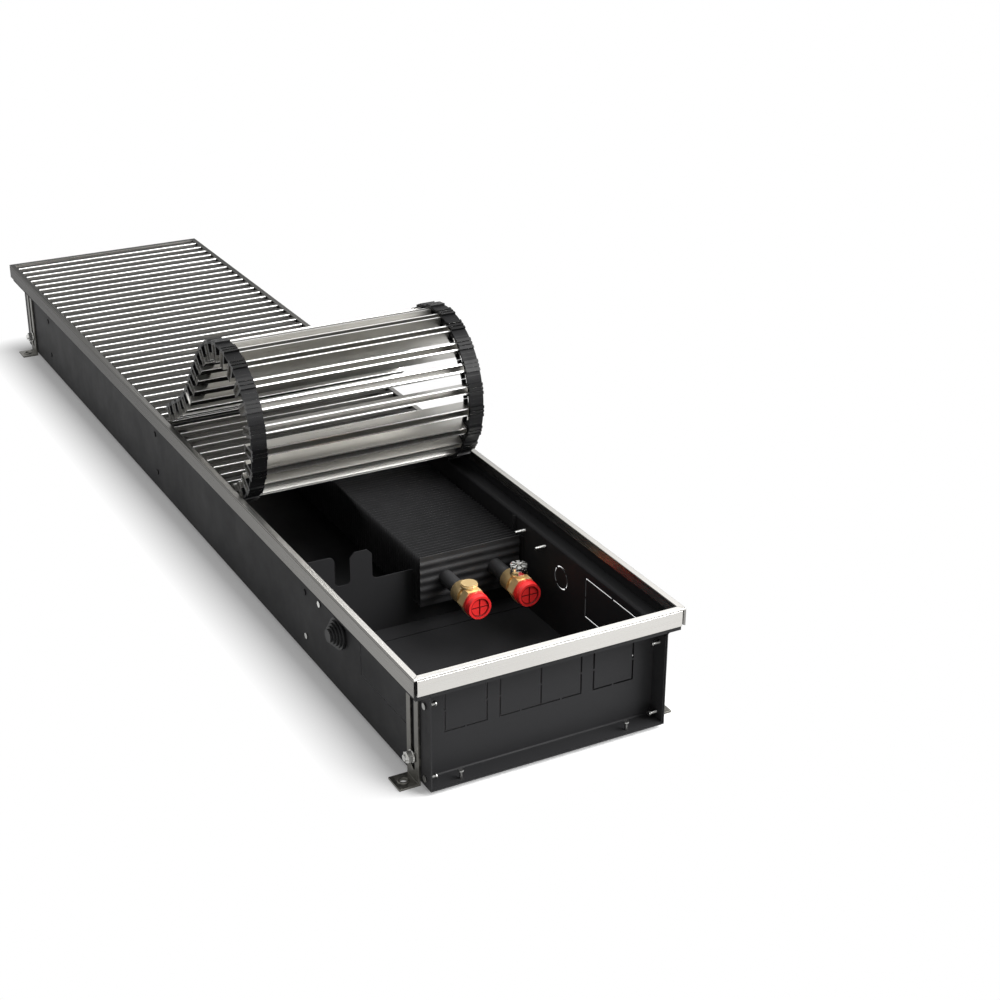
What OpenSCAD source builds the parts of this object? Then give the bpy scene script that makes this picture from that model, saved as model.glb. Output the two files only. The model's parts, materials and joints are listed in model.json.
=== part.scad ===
// Trench convector heater: a black steel floor trench with a finned heat exchanger, and an
// aluminium roll-up grille that is rolled back from the connection end.
// X runs across the trench, Y along it away from the connection end, Z up from the feet.
// Units are millimetres.

/* [Overall] */
// Width over the edge frame
frame_w = 260; // [230:5:420]
// Height from the underside of the casing to the top of the edge frame
body_h = 113; // [100:1:160]
// Distance from the frame's outer face to the casing's side wall
ledge_w = 15.5; // [13:0.5:25]
// Distance from one grille slat to the next
slat_pitch = 19.8; // [18:0.1:22]
// Number of slats over the whole length
slat_count = 61; // [50:1:90]
// Distance from the end of the frame to the centre of the first slat
slat_margin = 19; // [16:0.5:30]

/* [Casing] */
// Thickness of the folded steel sheet
sheet_t = 1; // [0.8:0.1:1.5]
// Inner radius of the fold between a wall and its ledge
fold_r = 2; // [1:0.5:3]
// Distance that an end panel stands back from the end of the casing
end_set_back = 19; // [14:1:30]
// Depth of the flanges that join an end panel to the walls and floor
end_flange = 18; // [12:1:25]
// Width of the cut that outlines a knockout
cut_w = 1.4; // [0.6:0.1:2]
// Width of the bridge that holds a knockout
bridge_w = 1.8; // [0.6:0.1:3]
// Side of a square knockout in an end panel
knockout_side = 39.5; // [30:0.5:45]
// Length of the knockout in a side wall
wall_knockout_len = 91; // [60:1:120]
// Diameter of the round cable entry in a side wall
cable_hole_d = 22.5; // [16:0.5:28]

/* [Edge frame] */
// Width of the frame's top strip
strip_w = 6; // [5:0.5:10]
// Thickness of the frame's outer and inner leg
leg_t = 1.5; // [1:0.1:2]
// Thickness of the frame's top strip
strip_t = 1.8; // [1.2:0.1:3]
// Height of the frame's outer face
outer_leg_h = 17; // [12:0.5:20]
// Height of the frame's inner face
inner_leg_h = 10; // [6:0.5:14]
// Open slit beside each corner of the frame
corner_slit = 1.8; // [1:0.1:3]

/* [Grille] */
// Height of the grille, from the underside of its rubber combs to the slat tops
grille_h = 20.7; // [18:0.1:24]
// Width of a slat
slat_w = 8.6; // [7:0.1:10]
// Wall of the slat's channel section
slat_wall = 1.5; // [1:0.1:2]
// Thickness of a comb block below its slat
comb_base = 4; // [3:0.1:5]
// Length of a comb along the slat
comb_len = 15.5; // [10:0.5:20]
// Thickness of the two prongs that hold a slat end
prong_t = 1.5; // [1:0.1:2]
// Height of the prongs above the comb block
prong_h = 9; // [6:0.5:12]
// Depth that the band between two comb blocks lies back from their faces
web_recess = 2.2; // [1:0.1:2.5]
// Height of the bending line above the underside of the combs
hinge_up = 14.5; // [12:0.5:16]

/* [Roll] */
// Turn in degrees between the laid grille and the first rolled slat
first_turn_angle = 19; // [10:1:24]
// Turn in degrees from slat to slat round the roll
arc_turn_angle = 16.8; // [14:0.1:17.5]

/* [Heat exchanger] */
// Width of a fin
fin_w = 108; // [80:1:125]
// Height of a fin
fin_h = 52.5; // [40:0.5:60]
// Thickness of a fin
fin_t = 0.4; // [0.2:0.1:0.8]
// Distance from one fin to the next
fin_pitch = 5.2; // [4:0.1:8]
// Height of the fins above the casing's underside
core_up = 24; // [15:0.5:30]
// Gap between the fins and the right side wall
core_gap = 4.5; // [3:0.5:20]
// Distance from the connection end to the core's front plate
core_front = 256; // [240:1:320]
// Distance from the far end to the core's rear plate
core_rear = 92; // [80:1:150]
// Outer diameter of the copper tubes
tube_d = 15; // [12:0.5:18]
// Wall of the copper tubes
tube_wall = 1; // [0.7:0.1:1.5]
// Distance between the two tubes
tube_gap = 53; // [40:1:60]
// Length of tube in front of the core's front plate
stub_len = 44; // [36:1:52]

/* [Fittings] */
// Across flats of the hexagonal end of a fitting
hex_af = 24; // [20:0.5:28]
// Outer diameter of the pipe thread on a fitting
thread_d = 20.96; // [16:0.01:21.5]
// Outer diameter of a red transport cap
cap_d = 24.6; // [24:0.1:27]
// Length of a transport cap
cap_len = 10; // [8:0.5:14]

/* [Feet] */
// Width of a foot
foot_w = 22; // [18:1:30]
// Thickness of a foot's sheet
foot_t = 2; // [1.5:0.1:3]
// Length that a foot's plate stands out from the casing
foot_reach = 20; // [16:1:30]
// Gap between a foot's plate and the underside of the casing
foot_gap = 2; // [1:0.5:6]
// Distance from the end of the frame to the middle of a foot
foot_from_end = 32; // [28:1:60]
// Width of the slot in a foot
slot_w = 7; // [6.8:0.1:8]
// Diameter of the clamp bolts
bolt_d = 6; // [5:0.5:6]
// Height of the clamp bolts above the casing's underside
bolt_up = 20; // [16:1:30]
// Diameter of the hole that anchors a foot
anchor_d = 6.6; // [5:0.1:8]

/* [Hidden] */

// Slats 1 to 21 are rolled back: each is a node of its own
rolled_count = 21;
function slat_name(k) = str("grille_slat_", k < 10 ? "0" : "", k);

// Clearances and small shared sizes
overrun = 1;
running_gap = 0.3;
contact_fit = 0.05;
screw_fit = 0.1;
tube_fit = 0.05;
end_gap = 0.5;
seat_gap = 0.3;
rail_inset = 2.5;
panel_fold_r = 1.6;
round_fn = 48;
small_fn = 24;
fine_fn = 72;

// Heights
base_z = foot_t + foot_gap;
floor_z = base_z + sheet_t;
top_z = base_z + body_h;
ledge_z = top_z - grille_h - seat_gap;
upstand_top = top_z - strip_t - contact_fit;

// Places of the end panel's knockouts, as shares of a knockout's side
knockout_shares = [-1.82, -0.5, 0.5, 1.82];

// Lengths along the trench
frame_l = slat_pitch * (slat_count - 1) + 2 * slat_margin;
near_y = -frame_l / 2;
far_y = frame_l / 2;
casing_l = frame_l - 2 * rail_inset;

// Half widths across the trench
wall_out = frame_w / 2 - ledge_w;
wall_in = wall_out - sheet_t;
upstand_out = frame_w / 2 - rail_inset;
upstand_in = upstand_out - sheet_t;
slat_end = frame_w / 2 - strip_w - end_gap;

// Grille
block_w = slat_w + 2 * (contact_fit + prong_t);
link_gap = slat_pitch - block_w;
web_t = comb_base - web_recess;
band_gap = 0.2;
hinge_z = top_z - grille_h + hinge_up;
above_hinge = grille_h - hinge_up;
lug_r = 1.2;
lug_len = 4;
groove_w = 1.5;
groove_d = 1.2;
groove_x = 2;
slat_top_r = 1;

// Roll: turns in degrees, from the laid grille to the free end
back_angles = [8.5, 3, 1];
tail_angles = [-9, -9, -2, 5];
arc_links = rolled_count - 2 - len(back_angles) - len(tail_angles);
lead_turns = concat([first_turn_angle], [for (i = [1:arc_links]) arc_turn_angle], back_angles);
roll_start = near_y + slat_margin + (rolled_count - 0.5) * slat_pitch;
function sum_to(list, n) = n <= 0 ? 0 : list[n - 1] + sum_to(list, n - 1);
half_turn_angle = 180;
function heading(turns, n) = half_turn_angle - sum_to(turns, n);
function path_y(turns, n) = n <= 0 ? 0 : path_y(turns, n - 1) + slat_pitch * cos(heading(turns, n));
function path_z(turns, n) = n <= 0 ? 0 : path_z(turns, n - 1) + slat_pitch * sin(heading(turns, n));
// The tail turns as one about its first hinge until its last slat rests on the laid slats
lead_n = len(lead_turns);
tail_n = len(tail_angles);
tail_hinge_z = hinge_z + path_z(lead_turns, lead_n);
tail_set = concat([half_turn_angle], tail_angles);
tip_heading = heading(tail_set, tail_n + 1);
tip_y = path_y(tail_set, tail_n + 1) + (slat_w / 2 - slat_pitch / 2) * cos(tip_heading)
    + above_hinge * sin(tip_heading);
tip_z = path_z(tail_set, tail_n + 1) + (slat_w / 2 - slat_pitch / 2) * sin(tip_heading)
    - above_hinge * cos(tip_heading);
tip_r = sqrt(tip_y * tip_y + tip_z * tip_z);
rest_gap = 0.4;
tail_heading = asin((top_z + rest_gap - tail_hinge_z) / tip_r) - atan2(tip_z, tip_y);
tail_turn = heading(lead_turns, lead_n) - tail_heading;
turns = concat(lead_turns, [tail_turn], tail_angles);
function hinge_y_of(n) = roll_start + path_y(turns, n);
function hinge_z_of(n) = hinge_z + path_z(turns, n);

// Heat exchanger
core_x = wall_in - core_gap - fin_w / 2;
core_y0 = near_y + core_front;
core_y1 = far_y - core_rear;
plate_t = 1;
plate_wave = 1;
plate_waves = 5;
plate_edge = 4;
fin_count = floor((core_y1 - core_y0 - 4 * plate_t) / fin_pitch);
fin_y0 = (core_y0 + core_y1) / 2 - fin_pitch * (fin_count - 1) / 2;
core_z0 = base_z + core_up;
tube_z = core_z0 + fin_h / 2;
tube_r = tube_d / 2;
tube_x = [core_x - tube_gap / 2, core_x + tube_gap / 2];
collar_t = 0.8;
rear_stub = 9;
socket_t = 1;
socket_len = 10;

// Braces
brace_gap = 1;
brace_top = ledge_z - brace_gap;
brace_flange = 15;
brace_foot = 22;
brace_side_drop = 17;
brace_side_h = brace_top - floor_z - brace_side_drop;
brace_from_core = 14;
brace_side_w = 33;
slot_side_w = 15.5;
tab_w = 23;
tab_chamfer = 5;
notch_r = 5;
notch_drop = 32;
notch_z = brace_top - notch_drop;
brace_tip_r = 6;
core_play = 0.5;
brace_y = [core_y0 + brace_from_core, (core_y0 + core_y1) / 2, core_y1 - brace_from_core];
rivet_r = 1.6;
rivet_head_r = 3;
rivet_head_h = 1;
rivet_low = 20;
rivet_drop = 7;
rivet_up = [rivet_low, brace_side_h - rivet_drop];
// A single rivet in the left wall, in front of the core
wall_rivet_from_core = 27.5;
wall_rivet_drop = 22.5;
wall_rivet_y = core_y0 - wall_rivet_from_core;
wall_rivet_z = ledge_z - wall_rivet_drop;

// Fittings
body_r = 10.8;
socket_depth = 13;
body_len = 20;
hex_len = 9.5;
water_r = 7;
cap_gap = 0.32;
cap_face_t = 2.5;
cap_rim = 0.6;
cap_rim_len = 4;
cap_recess_share = 0.72;
cap_recess_t = 1.1;
cap_mark_t = 0.6;
cap_mark_w = 1.2;
thread_len = cap_len - cap_face_t - end_gap;
boss_r = 6.4;
boss_back = 2.5;
boss_head_r = 8.2;
boss_head_t = 2.5;
boss_head_gap = 0.4;
boss_top = hex_af / 2 + boss_head_gap + boss_head_t;
neck_r = 8.6;
collar_len = 13.5;
plug_t = 1.2;
plug_r = 7.7;
valve_r = 8.1;
valve_h = 8;
vent_r = 3;
vent_screw_r = 2.6;
fitting_y = core_y0 - stub_len;
hex_y = fitting_y + socket_depth - body_len;
cap_y = hex_y - hex_len;
boss_y = hex_y + boss_back;

// Small fasteners
screw_r = 1.4;
screw_in = 7;
screw_tip_r = 2.3;
screw_tip_t = 1.2;
screw_head_r = 3;
screw_head_h = 1.2;
screw_from_end = 10;
screw_low = 8;
screw_drop = 14;
screw_up = [screw_low, ledge_z - base_z - screw_drop];
// Places of the floor screws, as shares of half the inner width
floor_screw_shares = [-0.74, 0.69];
stud_r = 1.6;
stud_len = 11;
stud_drop = 10;
stud_up = ledge_z - base_z - stud_drop;
// Distances of the studs in front of the core's front plate
stud_from_core = [42.5, 3];
stud_from_end = [for (d = stud_from_core) core_front - d];

// Grommet
wall_knockout_from_end = 47;
grommet_from_end = 183;
cable_drop = 30;
cable_up = ledge_z - base_z - cable_drop;
grommet_steps = 5;
grommet_r = 15;
grommet_tip_r = 4;
grommet_out = 12;
grommet_lip = 1.5;

// Bolts
bolt_fit = 0.1;
washer_r = 6;
washer_t = 1;
nut_af = 10;
nut_t = 5;
bolt_head_r = 6.5;
bolt_head_t = 2.5;
bolt_end = 2;
foot_top_gap = 3;
foot_leg_h = ledge_z - sheet_t - foot_top_gap;
foot_slot_end = 4;
foot_slot_low = 10;

// Shapes shared by several pieces

// Arc of points about a centre, from angle a0 to a1
function arc(cx, cz, r, a0, a1, steps) =
    [for (i = [0:steps]) [cx + r * cos(a0 + (a1 - a0) * i / steps), cz + r * sin(a0 + (a1 - a0) * i / steps)]];
function mirrored(points) = [for (i = [len(points) - 1:-1:0]) [-points[i][0], points[i][1]]];

// Extrudes an X-Z outline along +Y from y
module along_y(y, length) {
    translate([0, y + length, 0])
        rotate([90, 0, 0])
            linear_extrude(length)
                children();
}

// Extrudes a Y-Z outline along +X from x
module along_x(x, length) {
    translate([x, 0, 0])
        rotate([90, 0, 90])
            linear_extrude(length)
                children();
}

// A cylinder along Y or X that starts at a point
module rod_y(r, length, fn = round_fn) {
    rotate([-90, 0, 0]) cylinder(r = r, h = length, $fn = fn);
}
module rod_x(r, length, fn = round_fn) {
    rotate([0, 90, 0]) cylinder(r = r, h = length, $fn = fn);
}

// Rectangle cut as four slits, each held by a bridge at its middle
module knockout_slits(w, h) {
    difference() {
        square([w + cut_w, h + cut_w], center = true);
        square([w - cut_w, h - cut_w], center = true);
        square([w + 2 * cut_w, bridge_w], center = true);
        square([bridge_w, h + 2 * cut_w], center = true);
    }
}

// Round knockout cut as four slits
module round_slits(d) {
    difference() {
        circle(d = d + cut_w, $fn = fine_fn);
        circle(d = d - cut_w, $fn = fine_fn);
        for (a = [45, 135])
            rotate(a) square([d + 2 * cut_w, bridge_w], center = true);
    }
}

// Places its children at both ends of the trench, the rear one turned half a turn
module at_end(rear) {
    rotate(rear ? 180 : 0) children();
}

// Casing

module tray_outline() {
    right = concat(
        [[0, base_z], [wall_out, base_z]],
        arc(wall_out + fold_r, ledge_z - sheet_t - fold_r, fold_r, 180, 90, 4),
        [[upstand_out, ledge_z - sheet_t], [upstand_out, ledge_z]],
        arc(wall_in + sheet_t + fold_r, ledge_z - sheet_t - fold_r, fold_r + sheet_t, 90, 180, 4),
        [[wall_in, floor_z], [0, floor_z]]
    );
    outer = [for (p = right) p];
    polygon(concat(outer, mirrored(outer)));
}

module wall_knockouts() {
    for (side = [-1, 1])
        translate([side * (wall_out - sheet_t / 2) - sheet_t,
                   near_y + wall_knockout_from_end, base_z + cable_up])
            along_x(0, 2 * sheet_t)
                translate([wall_knockout_len / 2, 0])
                    knockout_slits(wall_knockout_len, knockout_side);
    translate([wall_out - sheet_t - overrun, near_y + grommet_from_end, base_z + cable_up])
        along_x(0, sheet_t + 2 * overrun)
            round_slits(cable_hole_d);
}

module casing_tray() {
    color("#1d1d1f")
        difference() {
            along_y(near_y + rail_inset, casing_l) tray_outline();
            wall_knockouts();
            translate([-wall_out - overrun, near_y + grommet_from_end, base_z + cable_up])
                rod_x(cable_hole_d / 2, sheet_t + 2 * overrun);
            for (rear = [false, true])
                at_end(rear) end_screw_holes();
            for (rear = [false, true], side = [-1, 1])
                at_end(rear)
                    translate([side * wall_in - overrun - sheet_t, near_y + foot_from_end, base_z + bolt_up])
                        rod_x(bolt_d / 2 + bolt_fit, 2 * (sheet_t + overrun));
            for (y = brace_y, side = [-1, 1], up = rivet_up)
                translate([side * wall_in - overrun - sheet_t, y - brace_flange / 2, base_z + up])
                    rod_x(rivet_r + contact_fit, 2 * (sheet_t + overrun), small_fn);
            translate([-wall_out - overrun, wall_rivet_y, wall_rivet_z])
                rod_x(rivet_r + contact_fit, sheet_t + 2 * overrun, small_fn);
            for (d = stud_from_end)
                translate([wall_in - overrun, near_y + d, base_z + stud_up])
                    rod_x(stud_r + contact_fit, sheet_t + 2 * overrun, small_fn);
        }
}

// Upright strip on the edge of a ledge, which the frame's rail covers
module casing_upstand(side) {
    color("#1d1d1f")
        translate([side < 0 ? -upstand_out : upstand_in, near_y + rail_inset, ledge_z + contact_fit])
            cube([sheet_t, casing_l, upstand_top - ledge_z - contact_fit]);
}
module casing_upstand_left() { casing_upstand(-1); }
module casing_upstand_right() { casing_upstand(1); }

// Holes for the screws that join an end plate to the tray
module end_screw_holes() {
    for (side = [-1, 1], up = screw_up)
        translate([side * wall_in - 2 * sheet_t - overrun, near_y + rail_inset + screw_from_end, base_z + up])
            rod_x(screw_r + screw_fit, 2 * (2 * sheet_t + overrun), small_fn);
    for (share = floor_screw_shares)
        translate([share * wall_in, near_y + rail_inset + screw_from_end / 2, base_z - overrun])
            cylinder(r = screw_r + screw_fit, h = 2 * (sheet_t + overrun), $fn = small_fn);
}

// Rounded inside of the fold between an end panel and its bottom flange
module panel_fold(panel_y) {
    low_z = floor_z + sheet_t;
    polygon(concat(
        [[panel_y + contact_fit, low_z - contact_fit], [panel_y + contact_fit, low_z + panel_fold_r]],
        arc(panel_y - panel_fold_r, low_z + panel_fold_r, panel_fold_r, 0, -90, 4),
        [[panel_y - panel_fold_r, low_z - contact_fit]]
    ));
}

// Folded end plate: a panel set back from the end, side and bottom flanges, ledge and upstand
module end_plate(rear) {
    panel_y = near_y + rail_inset + end_set_back;
    flange_y = panel_y - end_flange;
    inner_w = wall_in - contact_fit;
    upstand_w = upstand_in - contact_fit;
    color("#1d1d1f")
        at_end(rear)
            difference() {
                union() {
                    translate([-inner_w, panel_y, floor_z])
                        cube([2 * inner_w, sheet_t, ledge_z - floor_z]);
                    for (side = [0, 1])
                        mirror([side, 0, 0])
                            translate([-inner_w, flange_y, floor_z])
                                cube([sheet_t, end_flange + sheet_t, ledge_z - floor_z - fold_r - 2 * sheet_t]);
                    translate([-inner_w, flange_y, floor_z])
                        cube([2 * inner_w, end_flange + sheet_t, sheet_t]);
                    along_x(-inner_w + sheet_t / 2, 2 * inner_w - sheet_t) panel_fold(panel_y);
                    translate([-inner_w, near_y + rail_inset, ledge_z - sheet_t])
                        cube([2 * inner_w, end_set_back + sheet_t, sheet_t]);
                    translate([-inner_w, near_y + rail_inset, ledge_z - sheet_t])
                        cube([2 * inner_w, sheet_t, upstand_top - ledge_z + sheet_t]);
                    translate([-upstand_w, near_y + rail_inset, ledge_z + contact_fit])
                        cube([2 * upstand_w, sheet_t, upstand_top - ledge_z - contact_fit]);
                }
                end_screw_holes();
                for (share = knockout_shares)
                    translate([share * knockout_side, panel_y - overrun, base_z + cable_up])
                        along_y(0, sheet_t + 2 * overrun)
                            knockout_slits(knockout_side, knockout_side);
            }
}

module end_plate_front() { end_plate(false); }
module end_plate_rear() { end_plate(true); }

module end_plate_screws() {
    color("silver")
        for (rear = [false, true])
            at_end(rear) {
                for (side = [0, 1], up = screw_up)
                    mirror([side, 0, 0])
                        translate([-wall_out, near_y + rail_inset + screw_from_end, base_z + up]) {
                            rod_x(screw_r, 2 * sheet_t + screw_in, small_fn);
                            translate([2 * sheet_t + screw_in, 0, 0])
                                rod_x(screw_tip_r, screw_tip_t, small_fn);
                            translate([-screw_head_h, 0, 0]) rod_x(screw_head_r, screw_head_h, small_fn);
                        }
                for (share = floor_screw_shares)
                    translate([share * wall_in, near_y + rail_inset + screw_from_end / 2, base_z]) {
                        cylinder(r = screw_r, h = 2 * sheet_t + screw_in, $fn = small_fn);
                        translate([0, 0, 2 * sheet_t + screw_in])
                            cylinder(r = screw_tip_r, h = screw_tip_t, $fn = small_fn);
                        translate([0, 0, -screw_head_h])
                            cylinder(r = screw_head_r, h = screw_head_h, $fn = small_fn);
                    }
            }
}

// Edge frame: four mitred rails with an outer and an inner leg

module rail_outline() {
    groove = strip_t / 5;
    polygon([
        [0, top_z - outer_leg_h], [leg_t, top_z - outer_leg_h], [leg_t, top_z - strip_t],
        [strip_w - leg_t, top_z - strip_t], [strip_w - leg_t, top_z - inner_leg_h],
        [strip_w, top_z - inner_leg_h], [strip_w, top_z - groove], [strip_w - groove, top_z],
        [groove, top_z], [0, top_z - groove], [0, top_z - strip_t],
        [groove, top_z - strip_t - groove / 2], [groove, top_z - strip_t - groove],
        [0, top_z - strip_t - 2 * groove]
    ]);
}

// A rail whose outer face lies at -depth_half, of the given length, along X
module rail_x(length, depth_half) {
    intersection() {
        translate([0, -depth_half, 0])
            along_x(-length / 2, length) rail_outline();
        translate([0, -depth_half, 0])
            linear_extrude(top_z + overrun)
                polygon([[-length / 2 + contact_fit, 0], [length / 2 - contact_fit, 0],
                         [length / 2 - strip_w - contact_fit, strip_w],
                         [-length / 2 + strip_w + contact_fit, strip_w]]);
    }
}

module end_rail(rear) {
    color("#c9c6bf")
        at_end(rear)
            difference() {
                rail_x(frame_w, frame_l / 2);
                for (side = [0, 1])
                    mirror([side, 0, 0])
                        translate([-frame_w / 2 - overrun, near_y - overrun, top_z - outer_leg_h - overrun])
                            cube([leg_t + corner_slit + overrun, leg_t + 2 * overrun,
                                  outer_leg_h + overrun - strip_t]);
            }
}

module side_rail(right) {
    color("#c9c6bf")
        rotate(right ? 90 : -90) rail_x(frame_l, frame_w / 2);
}

module frame_rail_front() { end_rail(false); }
module frame_rail_rear() { end_rail(true); }
module frame_rail_left() { side_rail(false); }
module frame_rail_right() { side_rail(true); }

// Grille, drawn about the middle of a slat's top: Y across the slat, Z up

// Channel section of a slat, open below
module slat_outline() {
    h = grille_h - comb_base - contact_fit;
    difference() {
        polygon(concat(
            [[-slat_w / 2, -h], [slat_w / 2, -h]],
            arc(slat_w / 2 - slat_top_r, -slat_top_r, slat_top_r, 0, 90, 3),
            arc(-slat_w / 2 + slat_top_r, -slat_top_r, slat_top_r, 90, 180, 3)
        ));
        translate([-slat_w / 2 + slat_wall, -h - overrun])
            square([slat_w - 2 * slat_wall, h + overrun - slat_wall]);
    }
}

// Block with two prongs and three ribs below
module comb_block_outline() {
    difference() {
        translate([-block_w / 2, -grille_h])
            square([block_w, comb_base + prong_h]);
        translate([-slat_w / 2 - contact_fit, -grille_h + comb_base])
            square([slat_w + 2 * contact_fit, prong_h + overrun]);
        for (side = [-1, 1])
            translate([side * groove_x - groove_w / 2, -grille_h - overrun])
                square([groove_w, groove_d + overrun]);
    }
}

// Flexible link at the bending line: an arm with a round end, near the middle of the gap
module link_outline() {
    reach = slat_pitch / 2 - running_gap / 2 - lug_r - contact_fit;
    translate([slat_w / 2 + contact_fit, -above_hinge - lug_r])
        square([reach - slat_w / 2 - contact_fit, 2 * lug_r]);
    translate([reach, -above_hinge]) circle(r = lug_r, $fn = small_fn);
    translate([slat_w / 2 + contact_fit, -grille_h + comb_base])
        square([prong_t, hinge_up - comb_base + lug_r]);
}

// Length of the band stub beside a hinge with this turn
function band_reach(turn) =
    link_gap / 2 - (band_gap + max(0, (hinge_up - web_recess) * sin(-turn / 2))) / cos(turn / 2);

module web_stub(length) {
    translate([block_w / 2 - contact_fit, -grille_h + web_recess])
        square([length + contact_fit, web_t]);
}

// One end comb of a rolled slat; turn_far and turn_near are those of its two hinges
module slat_comb(turn_far, turn_near) {
    union() {
        along_x(0, comb_len) {
            union() {
                comb_block_outline();
                web_stub(band_reach(turn_far));
                mirror([1, 0]) web_stub(band_reach(turn_near));
            }
        }
        along_x(0, lug_len) {
            if (turn_far != 0) link_outline();
            if (turn_near != 0) mirror([1, 0]) link_outline();
        }
    }
}

module slat_bar() {
    color("#b9b7b1")
        along_x(-slat_end, 2 * slat_end) slat_outline();
}

module slat_with_combs(turn_far, turn_near) {
    slat_bar();
    color("#161617") {
        translate([slat_end - comb_len, 0, 0]) slat_comb(turn_far, turn_near);
        mirror([1, 0, 0]) translate([slat_end - comb_len, 0, 0]) slat_comb(turn_far, turn_near);
    }
}

// Rolled slat k; slat rolled_count is next to the laid grille and slat 1 is the free end
module rolled_slat(k) {
    n = rolled_count - k;
    turn_far = turns[n];
    turn_near = n + 1 < rolled_count ? turns[n + 1] : 0;
    translate([0, hinge_y_of(n), hinge_z_of(n)])
        rotate([heading(turns, n + 1) - half_turn_angle, 0, 0])
            translate([0, -slat_pitch / 2, above_hinge])
                slat_with_combs(turn_far, turn_near);
}

function slat_y(k) = near_y + slat_margin + slat_pitch * (k - 1);

module laid_slats() {
    for (k = [rolled_count + 1:slat_count])
        translate([0, slat_y(k), top_z]) slat_bar();
}

// Continuous comb under the laid slats, with a link towards the rolled part
module laid_comb() {
    first_y = slat_y(rolled_count + 1);
    color("#161617")
        translate([slat_end - comb_len, 0, top_z]) {
            along_x(0, comb_len)
                union() {
                    for (k = [rolled_count + 1:slat_count])
                        translate([slat_y(k), 0]) comb_block_outline();
                    for (k = [rolled_count + 1:slat_count - 1])
                        translate([slat_y(k), 0]) web_stub(link_gap + contact_fit);
                    translate([first_y, 0]) mirror([1, 0]) web_stub(band_reach(first_turn_angle));
                }
            along_x(0, lug_len)
                translate([first_y, 0]) mirror([1, 0]) link_outline();
        }
}

module laid_comb_right() { laid_comb(); }
module laid_comb_left() { mirror([1, 0, 0]) laid_comb(); }

// Heat exchanger

module fin_pack() {
    color("#1a1a1c")
        difference() {
            union() {
                for (i = [0:fin_count - 1])
                    translate([core_x - fin_w / 2, fin_y0 + i * fin_pitch - fin_t / 2, core_z0])
                        cube([fin_w, fin_t, fin_h]);
                for (x = tube_x)
                    translate([x, fin_y0, tube_z])
                        rotate([0, 22.5, 0])
                            rod_y((tube_r + collar_t) / cos(22.5), fin_pitch * (fin_count - 1), 8);
            }
            for (x = tube_x)
                translate([x, core_y0, tube_z])
                    rod_y(tube_r + tube_fit, core_y1 - core_y0);
        }
}

module core_tubes() {
    color("#b87445")
        for (x = tube_x)
            translate([x, core_y0 - stub_len, tube_z])
                difference() {
                    rod_y(tube_r, core_y1 - core_y0 + stub_len + rear_stub);
                    translate([0, -overrun, 0])
                        rod_y(tube_r - tube_wall, core_y1 - core_y0 + stub_len + rear_stub + 2 * overrun);
                }
}

// U bend that joins the tubes at the rear, with a socket over each tube end
module return_bend() {
    socket_y = core_y1 + rear_stub - socket_len + sheet_t + running_gap;
    bend_y = core_y1 + rear_stub + sheet_t;
    color("#b87445") {
        translate([core_x, bend_y, tube_z])
            rotate_extrude(angle = 180, $fn = fine_fn)
                translate([tube_gap / 2, 0])
                    difference() {
                        circle(r = tube_r + socket_t, $fn = round_fn);
                        circle(r = tube_r - tube_wall, $fn = round_fn);
                    }
        for (x = tube_x)
            translate([x, core_y1 + plate_t + running_gap, tube_z])
                difference() {
                    rod_y(tube_r + socket_t, bend_y - core_y1 - plate_t - running_gap);
                    translate([0, -overrun, 0])
                        rod_y(tube_r + tube_fit, rear_stub + overrun - plate_t - running_gap);
                    translate([0, -overrun, 0])
                        rod_y(tube_r - tube_wall, socket_len + 2 * overrun);
                }
    }
}

// End plate of the core, pressed in horizontal waves between flat edges
module core_plate(y, facing) {
    wave_h = (fin_h - 2 * plate_edge) / plate_waves;
    steps = 8 * plate_waves;
    face = [for (i = [0:steps])
        [facing * plate_wave / 2 * (1 - cos(360 * i * plate_waves / steps)),
         core_z0 + plate_edge + wave_h * plate_waves * i / steps]];
    front = concat([[0, core_z0]], face, [[0, core_z0 + fin_h]]);
    back = [for (i = [len(front) - 1:-1:0]) [front[i][0] - facing * plate_t, front[i][1]]];
    color("#1a1a1c")
        difference() {
            translate([0, y, 0])
                along_x(core_x - fin_w / 2, fin_w) polygon(concat(front, back));
            for (x = tube_x)
                translate([x, y - plate_wave - plate_t - overrun, tube_z])
                    rod_y(tube_r + tube_fit, 2 * (plate_wave + plate_t + overrun));
        }
}

module core_plate_front() { core_plate(core_y0, -1); }
module core_plate_rear() { core_plate(core_y1, 1); }

// Notch with round lower corners, open at the top of the brace
module round_notch(x, w, z) {
    translate([x, z + notch_r]) square([w, brace_top - z]);
    translate([x + notch_r, z]) square([w - 2 * notch_r, notch_r + overrun]);
    for (cx = [x + notch_r, x + w - notch_r])
        translate([cx, z + notch_r]) circle(r = notch_r, $fn = round_fn);
}

module brace_outline() {
    slot_x = -wall_in + brace_side_w;
    tab_x = slot_x + slot_side_w;
    open_x = tab_x + tab_w;
    core_x0 = core_x - fin_w / 2 - core_play;
    difference() {
        translate([-wall_in + contact_fit, floor_z])
            square([2 * (wall_in - contact_fit), brace_top - floor_z]);
        round_notch(slot_x, slot_side_w, notch_z);
        round_notch(open_x, core_x0 - open_x + 2 * notch_r, notch_z);
        translate([core_x0, core_z0]) square([fin_w + 2 * core_play, brace_top]);
        for (x = [tab_x, open_x])
            translate([x, brace_top])
                rotate(45) square(tab_chamfer * sqrt(2), center = true);
        translate([slot_x - brace_tip_r, brace_top - brace_tip_r])
            difference() {
                square(brace_tip_r + overrun);
                circle(r = brace_tip_r, $fn = round_fn);
            }
    }
}

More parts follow.
